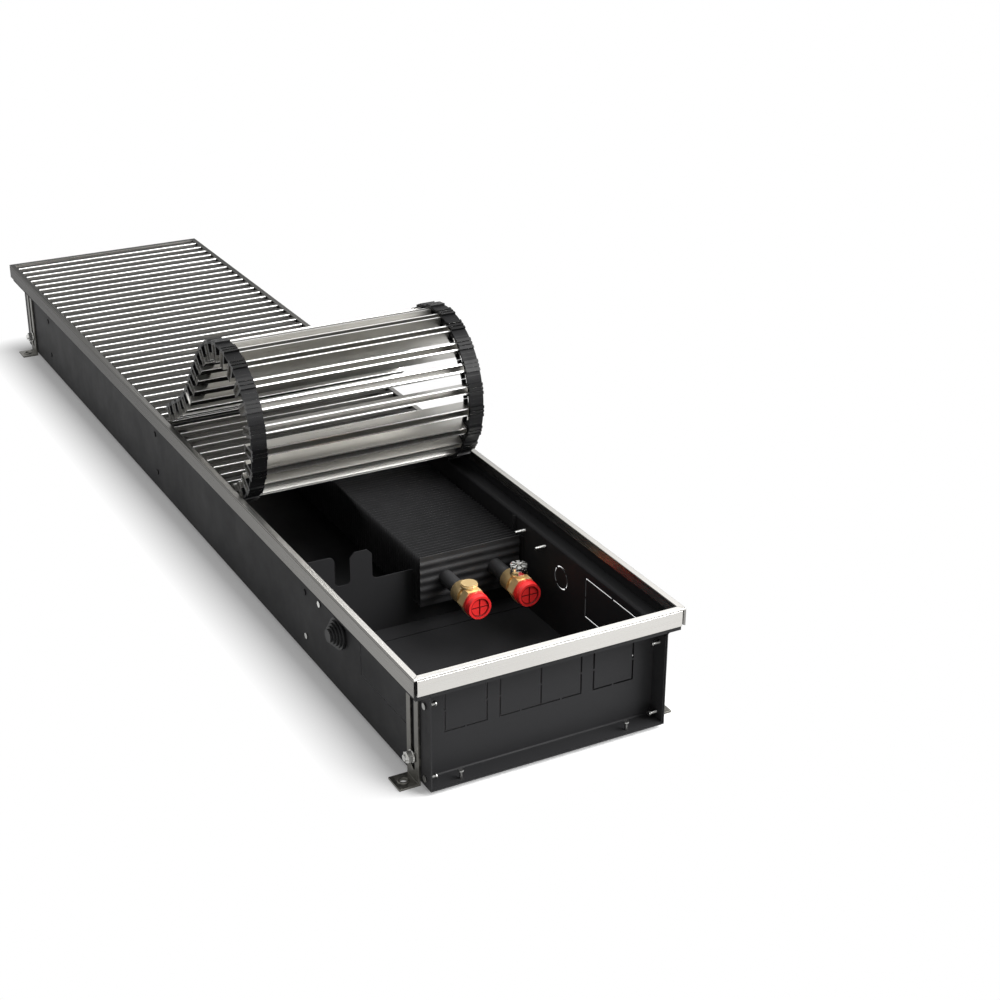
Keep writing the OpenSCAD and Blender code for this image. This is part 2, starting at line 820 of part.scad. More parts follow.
// Cross brace: a plate with notches for the core and the air guide, folded at the foot and sides
module cross_brace(y) {
    color("#1d1d1f")
        difference() {
            union() {
                along_y(y, sheet_t) brace_outline();
                translate([-wall_in + contact_fit, y - brace_foot, floor_z])
                    cube([2 * (wall_in - contact_fit), brace_foot + sheet_t, sheet_t]);
                for (side = [0, 1])
                    mirror([side, 0, 0])
                        translate([-wall_in + contact_fit, y - brace_flange, floor_z])
                            cube([sheet_t, brace_flange + sheet_t, brace_side_h]);
            }
            for (side = [-1, 1], up = rivet_up)
                translate([side * wall_in - overrun - sheet_t, y - brace_flange / 2, base_z + up])
                    rod_x(rivet_r + contact_fit, 2 * (sheet_t + overrun), small_fn);
        }
}

module cross_brace_front() { cross_brace(brace_y[0]); }
module cross_brace_middle() { cross_brace(brace_y[1]); }
module cross_brace_rear() { cross_brace(brace_y[2]); }

// A rivet with two flat heads that joins a grip of sheet, its outer head outside the left wall
module rivet(grip) {
    translate([-rivet_head_h, 0, 0]) {
        rod_x(rivet_head_r, rivet_head_h, small_fn);
        rod_x(rivet_r, 2 * rivet_head_h + grip, small_fn);
        translate([rivet_head_h + grip, 0, 0])
            rod_x(rivet_head_r, rivet_head_h, small_fn);
    }
}

module brace_rivets() {
    color("silver") {
        for (y = brace_y, side = [0, 1], up = rivet_up)
            mirror([side, 0, 0])
                translate([-wall_out, y - brace_flange / 2, base_z + up])
                    rivet(2 * sheet_t + contact_fit);
        translate([-wall_out, wall_rivet_y, wall_rivet_z]) rivet(sheet_t);
    }
}

// Fittings on the two tube stubs

// Brass body: collar on the tube, neck, hexagon, pipe thread, and a round-headed boss for the vent
module fitting(x) {
    color("#c9a24b")
        translate([x, 0, tube_z])
            difference() {
                union() {
                    translate([0, hex_y, 0]) rod_y(neck_r, body_len);
                    translate([0, hex_y + body_len - collar_len, 0]) rod_y(body_r, collar_len);
                    translate([0, hex_y - hex_len, 0])
                        rod_y(hex_af / 2 / cos(30), hex_len, 6);
                    translate([0, cap_y - thread_len, 0]) rod_y(thread_d / 2, thread_len + overrun);
                    translate([0, boss_y, 0])
                        cylinder(r = boss_r, h = boss_top, $fn = round_fn);
                    translate([0, boss_y, boss_top - boss_head_t])
                        cylinder(r = boss_head_r, h = boss_head_t, $fn = round_fn);
                }
                translate([0, hex_y + body_len - socket_depth, 0])
                    rod_y(tube_r + tube_fit, socket_depth + overrun);
                translate([0, cap_y - thread_len - overrun, 0])
                    rod_y(water_r, thread_len + hex_len + body_len);
                translate([0, boss_y, 0])
                    cylinder(r = vent_r + contact_fit, h = boss_top + overrun, $fn = small_fn);
            }
}

module fitting_flow() { fitting(tube_x[0]); }
module fitting_return() { fitting(tube_x[1]); }

// Plug that closes the vent boss of the flow fitting
module vent_plug() {
    color("#c9a24b")
        translate([tube_x[0], boss_y, tube_z + boss_top]) {
            cylinder(r = plug_r, h = plug_t, $fn = round_fn);
            translate([0, 0, -vent_r])
                cylinder(r = vent_r, h = vent_r + overrun, $fn = small_fn);
        }
}

// Nickel-plated bleed valve on the return fitting: hexagon, notched round head and a bore
module bleed_valve() {
    color("#cfcfcb")
        translate([tube_x[1], boss_y, tube_z + boss_top])
            difference() {
                union() {
                    cylinder(r = valve_r / cos(30), h = valve_h / 2, $fn = 6);
                    translate([0, 0, valve_h / 2])
                        cylinder(r = valve_r, h = valve_h / 2, $fn = round_fn);
                    translate([0, 0, -vent_r])
                        cylinder(r = vent_r, h = vent_r + overrun, $fn = small_fn);
                }
                translate([0, 0, valve_h / 3])
                    cylinder(r = vent_screw_r + contact_fit, h = valve_h, $fn = round_fn);
                for (a = [0:45:135])
                    translate([0, 0, valve_h])
                        rotate(a)
                            cube([3 * valve_r, valve_r / 4, valve_h / 2], center = true);
            }
}

module bleed_screw() {
    screw_h = valve_h * 2 / 3 + sheet_t;
    color("#d8d8d4")
        translate([tube_x[1], boss_y, tube_z + boss_top + valve_h / 3 + running_gap])
            difference() {
                cylinder(r = vent_screw_r, h = screw_h, $fn = round_fn);
                translate([0, 0, screw_h])
                    cube([3 * vent_screw_r, vent_screw_r / 3, 2 * sheet_t], center = true);
            }
}

// Red transport cap over the pipe thread: a rim at its open end, a round recess and a cross in its face
module transport_cap(x) {
    recess_r = cap_d / 2 * cap_recess_share;
    color("#d3121a")
        translate([x, cap_y - cap_len - running_gap, tube_z])
            difference() {
                union() {
                    rod_y(cap_d / 2 - cap_rim, cap_len, fine_fn);
                    translate([0, cap_len - cap_rim_len, 0]) rod_y(cap_d / 2, cap_rim_len, fine_fn);
                }
                translate([0, cap_face_t, 0])
                    rod_y(thread_d / 2 + cap_gap, cap_len);
                translate([0, -overrun, 0])
                    rod_y(recess_r, cap_recess_t + overrun, fine_fn);
                for (a = [0, 90])
                    rotate([0, a, 0])
                        cube([2 * recess_r - 2 * cap_mark_w, 2 * (cap_recess_t + cap_mark_t), cap_mark_w],
                             center = true);
            }
}

module cap_flow() { transport_cap(tube_x[0]); }
module cap_return() { transport_cap(tube_x[1]); }

// Stepped cable grommet in the left wall, its cone closed outside
module cable_grommet() {
    step = (grommet_out - grommet_lip) / grommet_steps;
    drop = (grommet_r - grommet_tip_r) / grommet_steps;
    hole_r = cable_hole_d / 2 - contact_fit;
    outer = [for (i = [0:grommet_steps - 1], e = [0, 1])
        [grommet_r - i * drop, sheet_t + grommet_lip + (i + e) * step]];
    color("#141415")
        translate([-wall_in, near_y + grommet_from_end, base_z + cable_up])
            rotate([0, -90, 0])
                rotate_extrude($fn = round_fn)
                    polygon(concat(
                        [[0, grommet_out - step], [hole_r - grommet_lip, -grommet_lip],
                         [grommet_r - grommet_lip, -grommet_lip], [grommet_r - grommet_lip, 0],
                         [hole_r, 0], [hole_r, sheet_t], [grommet_r, sheet_t]],
                        outer,
                        [[0, grommet_out + sheet_t]]
                    ));
}

// Two threaded studs on the inside of the right wall
module earth_studs() {
    color("silver")
        for (d = stud_from_end)
            translate([wall_in - stud_len, near_y + d, base_z + stud_up]) {
                rod_x(stud_r, stud_len + sheet_t, small_fn);
                translate([stud_len + sheet_t, 0, 0]) rod_x(2 * stud_r, sheet_t, small_fn);
            }
}

// Levelling feet: slotted angles that slide on the wall and are clamped by a bolt

module foot(rear, right) {
    leg_x = wall_out + running_gap;
    mirrored_side = right != rear;
    slot_z0 = base_z + foot_slot_low;
    slot_z1 = foot_leg_h - foot_slot_end - slot_w / 2;
    color("#9c9a94")
        at_end(rear)
            mirror([mirrored_side ? 1 : 0, 0, 0])
                translate([-leg_x - foot_t, near_y + foot_from_end - foot_w / 2, 0])
                    difference() {
                        union() {
                            cube([foot_t, foot_w, foot_leg_h]);
                            translate([-foot_reach + foot_t, 0, 0]) cube([foot_reach, foot_w, foot_t]);
                            translate([-foot_reach / 2 + foot_t / 2, foot_w / 2, foot_t])
                                cylinder(d = anchor_d + 2 * foot_t, h = foot_t / 2, $fn = round_fn);
                        }
                        translate([-foot_reach / 2 + foot_t / 2, foot_w / 2, -overrun])
                            cylinder(d = anchor_d, h = 2 * foot_t + 2 * overrun, $fn = round_fn);
                        translate([-overrun, (foot_w - slot_w) / 2, slot_z0])
                            cube([foot_t + 2 * overrun, slot_w, slot_z1 - slot_z0]);
                        for (z = [slot_z0, slot_z1])
                            translate([-overrun, foot_w / 2, z])
                                rod_x(slot_w / 2, foot_t + 2 * overrun);
                    }
}

module foot_front_left() { foot(false, false); }
module foot_front_right() { foot(false, true); }
module foot_rear_left() { foot(true, false); }
module foot_rear_right() { foot(true, true); }

// Places its children at each clamp bolt, with +X pointing into the trench
module at_foot_bolts() {
    for (rear = [false, true], side = [0, 1])
        at_end(rear)
            mirror([side, 0, 0])
                translate([-wall_out, near_y + foot_from_end, base_z + bolt_up])
                    children();
}

// Clamp bolts: a round head inside the trench and a threaded shank through wall and slot
module foot_bolts() {
    grip = running_gap * 2 + foot_t + washer_t + nut_t + bolt_end;
    color("silver")
        at_foot_bolts() {
            translate([-grip, 0, 0]) rod_x(bolt_d / 2, grip + sheet_t, small_fn);
            translate([sheet_t, 0, 0]) rod_x(bolt_head_r, bolt_head_t, small_fn);
        }
}

// Washer and nut outside each foot
module foot_bolt_nuts() {
    washer_x = -(2 * running_gap + foot_t + washer_t);
    color("silver")
        at_foot_bolts()
            difference() {
                union() {
                    translate([washer_x, 0, 0]) rod_x(washer_r, washer_t, small_fn);
                    translate([washer_x - nut_t, 0, 0]) rod_x(nut_af / 2 / cos(30), nut_t, 6);
                }
                translate([washer_x - nut_t - overrun, 0, 0])
                    rod_x(bolt_d / 2 + contact_fit, nut_t + washer_t + 2 * overrun, small_fn);
            }
}

casing_tray();
casing_upstand_left();
casing_upstand_right();
end_plate_front();
end_plate_rear();
frame_rail_front();
frame_rail_rear();
frame_rail_left();
frame_rail_right();
laid_slats();
laid_comb_left();
laid_comb_right();
fin_pack();
core_tubes();
return_bend();
core_plate_front();
core_plate_rear();
cross_brace_front();
cross_brace_middle();
cross_brace_rear();
brace_rivets();
fitting_flow();
fitting_return();
vent_plug();
bleed_valve();
bleed_screw();
cap_flow();
cap_return();
cable_grommet();
earth_studs();
end_plate_screws();
foot_bolts();
foot_bolt_nuts();
foot_front_left();
foot_front_right();
foot_rear_left();
foot_rear_right();
for (k = [1:rolled_count])
    rolled_slat(k);
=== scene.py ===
"""Looks of the trench convector heater: camera, materials, link webs, floor and light."""

import json
import math

import bmesh
import bpy
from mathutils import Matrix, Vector


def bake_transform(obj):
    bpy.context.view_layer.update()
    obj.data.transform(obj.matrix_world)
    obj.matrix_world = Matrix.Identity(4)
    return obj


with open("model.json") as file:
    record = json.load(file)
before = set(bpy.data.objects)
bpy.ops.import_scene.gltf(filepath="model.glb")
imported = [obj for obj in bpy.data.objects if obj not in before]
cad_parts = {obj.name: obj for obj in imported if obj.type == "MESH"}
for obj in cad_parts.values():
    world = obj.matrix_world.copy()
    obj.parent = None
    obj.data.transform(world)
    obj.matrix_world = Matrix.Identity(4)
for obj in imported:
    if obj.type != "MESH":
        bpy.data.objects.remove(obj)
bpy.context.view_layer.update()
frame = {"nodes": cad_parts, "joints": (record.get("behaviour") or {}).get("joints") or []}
nodes = frame["nodes"]
scene = bpy.context.scene


def add_object(name, data):
    obj = bpy.data.objects.new(name, data)
    scene.collection.objects.link(obj)
    return obj


# Camera at the photograph's place: it looks down along the trench from the connection end

FOCAL_PX = 1826.31
AZIMUTH = math.radians(-27.873)
ELEVATION = math.radians(25.069)
CAMERA_AT = Vector((-0.6731, -1.74805, 0.8607))
CENTRE_PX = (477.06, 503.44)
FRAME_PX = 1000
SENSOR_MM = 36
CLIP_FAR = 100

camera_data = bpy.data.cameras.new("camera")
camera = add_object("camera", camera_data)
scene.camera = camera
camera_data.sensor_width = SENSOR_MM
camera_data.lens = FOCAL_PX / FRAME_PX * SENSOR_MM
camera_data.shift_x = 0.5 - CENTRE_PX[0] / FRAME_PX
camera_data.shift_y = CENTRE_PX[1] / FRAME_PX - 0.5
camera_data.clip_end = CLIP_FAR
look = Vector((
    -math.sin(AZIMUTH) * math.cos(ELEVATION),
    math.cos(AZIMUTH) * math.cos(ELEVATION),
    -math.sin(ELEVATION),
))
camera.location = CAMERA_AT
camera.rotation_euler = look.to_track_quat("-Z", "Y").to_euler()


# Materials


def add_node(tree, kind, inputs, operation=None):
    """A new shader node. Each input is set to its value, or linked where that is an output."""
    node = tree.nodes.new("ShaderNode" + kind)
    if operation:
        node.operation = operation
    for key, value in inputs.items():
        if isinstance(value, bpy.types.NodeSocket):
            tree.links.new(value, node.inputs[key])
        else:
            node.inputs[key].default_value = value
    return node


class Shader:
    """A material of one Principled shader, with short calls for the nodes that feed it."""

    def __init__(self, name, **values):
        self.material = bpy.data.materials.new(name)
        self.material.use_nodes = True
        self.tree = self.material.node_tree
        self.bsdf = self.tree.nodes["Principled BSDF"]
        for key, value in values.items():
            socket = key.replace("_", " ").title().replace("Ior", "IOR")
            self.bsdf.inputs[socket].default_value = value
        self.coords = self.add("TexCoord", {}).outputs["Object"]

    def add(self, kind, inputs, operation=None):
        return add_node(self.tree, kind, inputs, operation)

    def noise(self, scale, detail=2, rough=0.5, stretch=None):
        place = self.coords
        if stretch:
            place = self.add("Mapping", {"Vector": place, "Scale": stretch}).outputs["Vector"]
        inputs = {"Vector": place, "Scale": scale, "Detail": detail, "Roughness": rough}
        return self.add("TexNoise", inputs).outputs["Fac"]

    def cells(self, scale):
        return self.add("TexVoronoi", {"Vector": self.coords, "Scale": scale}).outputs["Color"]

    def along(self, axis):
        return self.add("SeparateXYZ", {"Vector": self.coords}).outputs[axis]

    def spread(self, value, low, high, start=0.3, end=0.7):
        """value from start to end becomes low to high."""
        ends = {"From Min": start, "From Max": end, "To Min": low, "To Max": high}
        return self.add("MapRange", {"Value": value, **ends}).outputs["Result"]

    def calc(self, operation, *values):
        return self.add("Math", dict(enumerate(values)), operation).outputs["Value"]

    def ramp(self, value, stops):
        node = self.add("ValToRGB", {"Fac": value})
        band = node.color_ramp
        while len(band.elements) < len(stops):
            band.elements.new(0.5)
        for element, (place, color) in zip(band.elements, stops):
            element.position = place
            element.color = (*color, 1)
        return node.outputs["Color"]

    def bump(self, height, strength, distance, **after):
        inputs = {"Height": height, "Strength": strength, "Distance": distance, **after}
        return self.add("Bump", inputs).outputs["Normal"]

    def surface(self, color, roughness, normal):
        """Feeds the shader's three main sockets, and gives back the finished material."""
        for socket, output in (("Base Color", color), ("Roughness", roughness), ("Normal", normal)):
            self.tree.links.new(output, self.bsdf.inputs[socket])
        return self.material


def tint(color, factor):
    return tuple(min(1.0, c * factor) for c in color)


ALONG_X = (6, 900, 900)
ALONG_Y = (900, 6, 900)
BLACK = (0.0195, 0.0195, 0.0205)
ALUMINIUM = (0.70, 0.685, 0.655)
# The second cap colour is painted shade for the creases of the caps' ring and cross
CAP_RED, CAP_CREASE_SHADE = (1.0, 0.037, 0.037), (0.18, 0.005, 0.005)

# Ends of the side rails' painted light fade along Y
FADE_NEAR, FADE_FAR = -0.62, 0.62

# Half widths of the painted shade in the caps' creases: fully dark up to the first, gone at the
# second
RING_HALF, CROSS_HALF = (0.0003, 0.0007), (0.0005, 0.0008)


def coated(name, color, rough, peel=0.12, patch=7.0, gloss=0.12):
    """Powder coat: a fine orange-peel skin with faint handling marks."""
    s = Shader(name, specular_ior_level=gloss)
    marks = s.noise(patch, detail=5, rough=0.62)
    wear = s.noise(patch * 3.1, detail=4, rough=0.6)
    skin = s.bump(s.noise(820), strength=peel, distance=0.0002)
    return s.surface(
        s.ramp(marks, [(0.25, tint(color, 0.92)), (0.8, tint(color, 1.1))]),
        s.spread(wear, rough - 0.06, rough + 0.07),
        s.bump(s.noise(46), strength=0.05, distance=0.001, Normal=skin),
    )


def drawn(name, color, rough, stretch, line=0.25, rim=1.0):
    """Drawn or brushed metal: fine lines along the direction with the small stretch."""
    s = Shader(name, metallic=1.0, specular_tint=(rim, rim, rim, 1))
    lines = s.noise(1, detail=3, rough=0.65, stretch=stretch)
    broad = s.noise(5, detail=3)
    return s.surface(
        s.ramp(broad, [(0.3, tint(color, 0.93)), (0.7, tint(color, 1.05))]),
        s.spread(lines, rough - 0.07, rough + 0.09),
        s.bump(lines, strength=line, distance=0.00015),
    )


def painted_light_fade(name, levels):
    """Brushed strips along the trench, with a painted highlight at the connection end that fades to
    painted shade at the far end.
    """
    s = Shader(name, metallic=1.0, specular_tint=(0.6, 0.6, 0.6, 1))
    place = s.spread(s.along("Y"), 0, 1, FADE_NEAR, FADE_FAR)
    lines = s.noise(1, detail=3, rough=0.65, stretch=ALONG_Y)
    return s.surface(
        s.ramp(place, [(at, tint(ALUMINIUM, level)) for at, level in levels]),
        s.spread(lines, 0.23, 0.39),
        s.bump(lines, strength=0.2, distance=0.00015),
    )


def turned(name, color, rough, metal=1.0):
    """Machined metal with fine tool marks and slight tarnish."""
    s = Shader(name, metallic=metal)
    tarnish = s.noise(40, detail=3)
    marks = s.noise(1400, stretch=(1, 0.12, 1))
    return s.surface(
        s.ramp(tarnish, [(0.3, tint(color, 0.92)), (0.7, tint(color, 1.04))]),
        s.spread(tarnish, rough + 0.05, rough - 0.03),
        s.bump(marks, strength=0.12, distance=0.00006),
    )


def rubber(name, color, rough, gloss):
    """Matt black rubber with a faint pale bloom."""
    s = Shader(name, specular_ior_level=gloss)
    bloom = s.noise(90, detail=4, rough=0.6)
    return s.surface(
        s.ramp(bloom, [(0.3, color), (0.75, tint(color, 1.6))]),
        s.spread(bloom, rough - 0.05, rough + 0.1),
        s.bump(s.noise(1500, rough=0.6), strength=0.15, distance=0.0001),
    )


def galvanised(name, color, rough):
    """Zinc spangle: flat crystals of slightly different grey."""
    s = Shader(name, metallic=1.0)
    crystal = s.cells(260)
    return s.surface(
        s.ramp(crystal, [(0.1, tint(color, 0.8)), (0.9, tint(color, 1.18))]),
        s.spread(crystal, rough - 0.08, rough + 0.1, 0, 1),
        s.bump(s.noise(500, detail=3, rough=0.6), strength=0.1, distance=0.0001),
    )


def crease_shaded(name, axis, ring):
    """Moulded cap about an axis along Y, with painted shade in the creases at its pressed ring and
    cross.
    """
    s = Shader(name, specular_ior_level=0.5)
    across, upward = (
        s.calc("ABSOLUTE", s.calc("SUBTRACT", s.along(letter), middle))
        for letter, middle in zip("XZ", axis)
    )
    squares = s.calc("ADD", s.calc("POWER", across, 2), s.calc("POWER", upward, 2))
    radius = s.calc("SQRT", squares)
    on_ring = s.spread(s.calc("ABSOLUTE", s.calc("SUBTRACT", radius, ring)), 1, 0, *RING_HALF)
    on_cross = s.spread(s.calc("MINIMUM", across, upward), 1, 0, *CROSS_HALF)
    inside = s.calc("LESS_THAN", radius, ring)
    crease_shade = s.calc("MAXIMUM", on_ring, s.calc("MULTIPLY", on_cross, inside))
    return s.surface(
        s.ramp(crease_shade, [(0.0, CAP_RED), (1.0, CAP_CREASE_SHADE)]),
        s.spread(s.noise(120, detail=3, rough=0.6), 0.29, 0.4),
        s.bump(s.noise(1900), strength=0.1, distance=0.0001),
    )


sheet_black = coated("sheet_black", BLACK, 0.56)
core_black = coated("core_black", (0.024, 0.024, 0.025), 0.42, peel=0.2, patch=30, gloss=0.55)
# Near-black painted shade for the end plates' slits and eased edges
painted_edge_shade = coated("painted_edge_shade", (0.0015, 0.0015, 0.0016), 0.6, gloss=0.05)
rail_long = drawn("rail_along", ALUMINIUM, 0.3, ALONG_Y)
rail_cross = drawn("rail_across", ALUMINIUM, 0.3, ALONG_X)
# Painted light on the rails: painted shade on the side rails' upright faces, a painted highlight
# fading to painted shade along their top strips, and a painted highlight on the front rail's top
# strip
rail_side_painted_shade = painted_light_fade("rail_side_painted_shade", [(0.0, 0.46), (0.25, 0.36), (0.55, 0.2), (0.9, 0.15)])
rail_top_painted_light = painted_light_fade("rail_top_painted_light", [(0.0, 1.35), (0.22, 0.95), (0.5, 0.33), (0.85, 0.1)])
rail_painted_sheen = drawn("rail_painted_sheen", tint(ALUMINIUM, 1.3), 0.36, ALONG_X, line=0.02)
# Painted shade on the rails' eased edges
rail_rim_painted_shade = drawn("rail_rim_painted_shade", (0.13, 0.128, 0.12), 0.6, ALONG_X, line=0.05)
slat_metal = drawn("slat_metal", (0.185, 0.180, 0.169), 0.42, ALONG_X, line=0.05)
# Painted light on the slats by the way their faces look: painted highlights on legs and rounded
# edges, painted shade on tops and sawn ends
slat_leg_painted_highlight = drawn("slat_leg_painted_highlight", (0.52, 0.51, 0.485), 0.34, ALONG_X, line=0.05)
slat_top_painted_shade = drawn("slat_top_painted_shade", (0.070, 0.068, 0.063), 0.34, ALONG_X, line=0.06, rim=0.6)
slat_edge_painted_highlight = drawn("slat_edge_painted_highlight", (0.96, 0.955, 0.94), 0.36, ALONG_X, line=0.03)
slat_cut_painted_shade = drawn("slat_cut_painted_shade", (0.10, 0.098, 0.092), 0.4, ALONG_Y, line=0.1, rim=0.6)
painted_rim_highlight = drawn("painted_rim_highlight", (0.30, 0.295, 0.28), 0.3, ALONG_X, line=0.05)
comb_black = rubber("comb_rubber", (0.0018, 0.0018, 0.002), 0.34, gloss=0.2)
web_black = rubber("web_rubber", (0.004, 0.004, 0.0044), 0.5, gloss=0.14)
grommet_black = rubber("grommet_rubber", (0.006, 0.006, 0.0065), 0.45, gloss=0.3)
brass = turned("brass", (0.86, 0.62, 0.30), 0.3, metal=0.6)
nickel = turned("nickel", (0.52, 0.515, 0.50), 0.14)
zinc = turned("zinc", (0.66, 0.66, 0.64), 0.26)
screw_zinc = turned("screw_zinc", (0.33, 0.33, 0.32), 0.34)
foot_zinc = galvanised("foot_zinc", (0.16, 0.156, 0.142), 0.38)

END_PLATES = ("end_plate_front", "end_plate_rear")
SHEETS = ("casing_tray", "cross_brace_front", "cross_brace_middle", "cross_brace_rear", *END_PLATES)
UPSTANDS = ("casing_upstand_left", "casing_upstand_right")
CROSS_RAILS = ("frame_rail_front", "frame_rail_rear")
LONG_RAILS = ("frame_rail_left", "frame_rail_right")
LAID_COMBS = ("laid_comb_left", "laid_comb_right")
CORE = ("fin_pack", "core_plate_front", "core_plate_rear", "core_tubes", "return_bend")
FITTINGS = ("fitting_flow", "fitting_return")
CAPS = ("cap_flow", "cap_return")
FEET = ("foot_front_left", "foot_front_right", "foot_rear_left", "foot_rear_right")
FOOT_BOLTS = ("foot_bolts", "foot_bolt_nuts")
SLATS = tuple(name for name in sorted(nodes) if name.startswith("grille_slat_"))

# The caps' materials come below, because each cap has its own
MAIN_MATERIALS = (
    (sheet_black, (*SHEETS, *UPSTANDS)),
    (rail_cross, CROSS_RAILS),
    (rail_long, LONG_RAILS),
    (slat_metal, ("laid_slats", *SLATS)),
    (comb_black, LAID_COMBS),
    (core_black, CORE),
    (brass, (*FITTINGS, "vent_plug")),
    (nickel, ("bleed_valve", "bleed_screw")),
    (grommet_black, ("cable_grommet",)),
    (screw_zinc, ("earth_studs", "end_plate_screws")),
    (zinc, ("brace_rivets", *FOOT_BOLTS)),
    (foot_zinc, FEET),
)


def paint(obj, material):
    obj.data.materials.clear()
    obj.data.materials.append(material)


for material, names in MAIN_MATERIALS:
    for name in names:
        paint(nodes[name], material)


# Faces that get a second material

# A face looks along an axis when its normal's part along that axis is over one of these
MOSTLY, SQUARELY = 0.7, 0.99


def slot_of(mesh, material):
    """Number of the material's slot in a mesh, which is added where it is missing."""
    if material.name not in mesh.materials:
        mesh.materials.append(material)
    return mesh.materials.find(material.name)


def paint_faces(name, material, chosen):
    """Gives the material to the faces of a node that chosen(face) picks."""
    mesh = nodes[name].data
    slot = slot_of(mesh, material)
    for face in mesh.polygons:
        if chosen(face):
            face.material_index = slot


def solids_of(mesh):
    """Faces of each separate solid in a mesh, whose vertices may be split along edges."""
    leader = {}

    def find(key):
        while leader.setdefault(key, key) != key:
            key = leader[key]
        return key

    places = [tuple(round(c, 6) for c in v.co) for v in mesh.vertices]
    for face in mesh.polygons:
        first, *rest = (find(places[v]) for v in face.vertices)
        for other in rest:
            leader[find(other)] = find(first)
    groups = {}
    for face in mesh.polygons:
        groups.setdefault(find(places[face.vertices[0]]), []).append(face)
    return list(groups.values())


def corners_of(mesh, faces):
    return [mesh.vertices[v].co for face in faces for v in face.vertices]


# Each rolled slat is one CAD node of a bar and two end combs, and its short solids are the combs
COMB_REACH = 0.05
for name in SLATS:
    mesh = nodes[name].data
    comb_slot = slot_of(mesh, comb_black)
    for solid in solids_of(mesh):
        xs = [corner.x for corner in corners_of(mesh, solid)]
        if max(xs) - min(xs) < COMB_REACH:
            for face in solid:
                face.material_index = comb_slot

# Along the trench the side rails fade from painted highlight to painted shade, and their upright
# faces get painted shade, duller than their top strips; the front rail's top strip gets a painted
# highlight
for name in (*LONG_RAILS, "frame_rail_rear"):
    paint_faces(name, rail_top_painted_light, lambda face: face.normal.z > MOSTLY)
    paint_faces(name, rail_side_painted_shade, lambda face: abs(face.normal.x) > MOSTLY)
paint_faces("frame_rail_front", rail_painted_sheen, lambda face: face.normal.z > MOSTLY)

# The rivets low on the front brace and the single one in the wall are bare, the others coated
WALL_RIVET_BEFORE = -0.37
FRONT_BRACE_BEFORE, LOW_RIVET_BELOW = -0.3, 0.05
mesh = nodes["brace_rivets"].data
coated_slot = slot_of(mesh, sheet_black)
for solid in solids_of(mesh):
    corners = corners_of(mesh, solid)
    middle = sum(corners, Vector()) / len(corners)
    on_wall = middle.y < WALL_RIVET_BEFORE
    low_on_brace = middle.y < FRONT_BRACE_BEFORE and middle.z < LOW_RIVET_BELOW
    if not (on_wall or low_on_brace):
        for face in solid:
            face.material_index = coated_slot


def face_plane(mesh, toward):
    """Place along Y of the largest flat face that looks toward -1 or 1."""
    areas = {}
    for face in mesh.polygons:
        if face.normal.y * toward > SQUARELY:
            place = round(face.center.y, 5)
            areas[place] = areas.get(place, 0) + face.area
    return max(areas, key=areas.get)


# Inside the slits of the knockouts the sheet gets painted shade
SLIT_MARGIN, SLIT_LEAN = 0.0001, 0.5
for name in END_PLATES:
    outer, inner = sorted(face_plane(nodes[name].data, toward) for toward in (-1, 1))
    paint_faces(
        name,
        painted_edge_shade,
        lambda face: abs(face.normal.y) < SLIT_LEAN
        and outer + SLIT_MARGIN < face.center.y < inner - SLIT_MARGIN,
    )

# Each cap's painted crease shade follows its own axis and the edge of its recess
CAP_RECESS_DEPTH, SAME_PLACE = 0.0011, 0.0001
for name in CAPS:
    mesh = nodes[name].data
    xs, ys, zs = zip(*(v.co for v in mesh.vertices))
    axis = ((min(xs) + max(xs)) / 2, (min(zs) + max(zs)) / 2)
    floor_y = min(ys) + CAP_RECESS_DEPTH
    on_floor = [(x, z) for x, y, z in zip(xs, ys, zs) if abs(y - floor_y) < SAME_PLACE]
    ring = max(math.dist(axis, place) for place in on_floor)
    paint(nodes[name], crease_shaded(name.replace("cap_", "cap_red_"), axis, ring))

# Lean of a slat face toward the grille's base, from -1 at its top to 1, and depth of its leg ends
TOP_LEAN, EDGE_LEAN, LEG_LEAN, END_LEAN = -0.9, -0.1, 0.5, 0.9
LEG_END = 0.0005


def dress_slats(name, down):
    """Slat faces painted by the way they look: painted shade on tops and sawn ends, painted
    highlights on rounded edges and legs.
    """
    mesh = nodes[name].data
    bar = [face for face in mesh.polygons if face.material_index == 0]
    foot = max(corner.dot(down) for corner in corners_of(mesh, bar)) - LEG_END
    top, edge, cut, leg = (slot_of(mesh, m) for m in (slat_top_painted_shade, slat_edge_painted_highlight, slat_cut_painted_shade, slat_leg_painted_highlight))
    for face in bar:
        lean = face.normal.dot(down)
        if abs(face.normal.x) > MOSTLY:
            face.material_index = cut
        elif lean < TOP_LEAN:
            face.material_index = top
        elif lean < EDGE_LEAN or (lean > END_LEAN and face.center.dot(down) > foot):
            face.material_index = edge
        elif lean < LEG_LEAN:
            face.material_index = leg


dress_slats("laid_slats", Vector((0, 0, -1)))


# Eased edges

EDGE_ANGLE = math.radians(35)
WELD_REACH = 0.00001
EDGE_WIDTHS = (
    (0.0002, UPSTANDS),
    (0.0003, (*SHEETS, "laid_slats", *SLATS, *LAID_COMBS, "bleed_valve", *FEET, *FOOT_BOLTS)),
    (0.00035, (*CROSS_RAILS, *LONG_RAILS)),
    (0.0004, ("vent_plug", "cable_grommet", "end_plate_screws", *CAPS)),
    (0.0006, ("brace_rivets", "earth_studs", *FITTINGS)),
)
# The rolled slats' eased edges get a painted highlight, and the end plates' and rails' eased edges
# get painted shade
EDGE_MATERIALS = (
    (painted_rim_highlight, SLATS),
    (painted_edge_shade, END_PLATES),
    (rail_rim_painted_shade, (*CROSS_RAILS, *LONG_RAILS)),
)


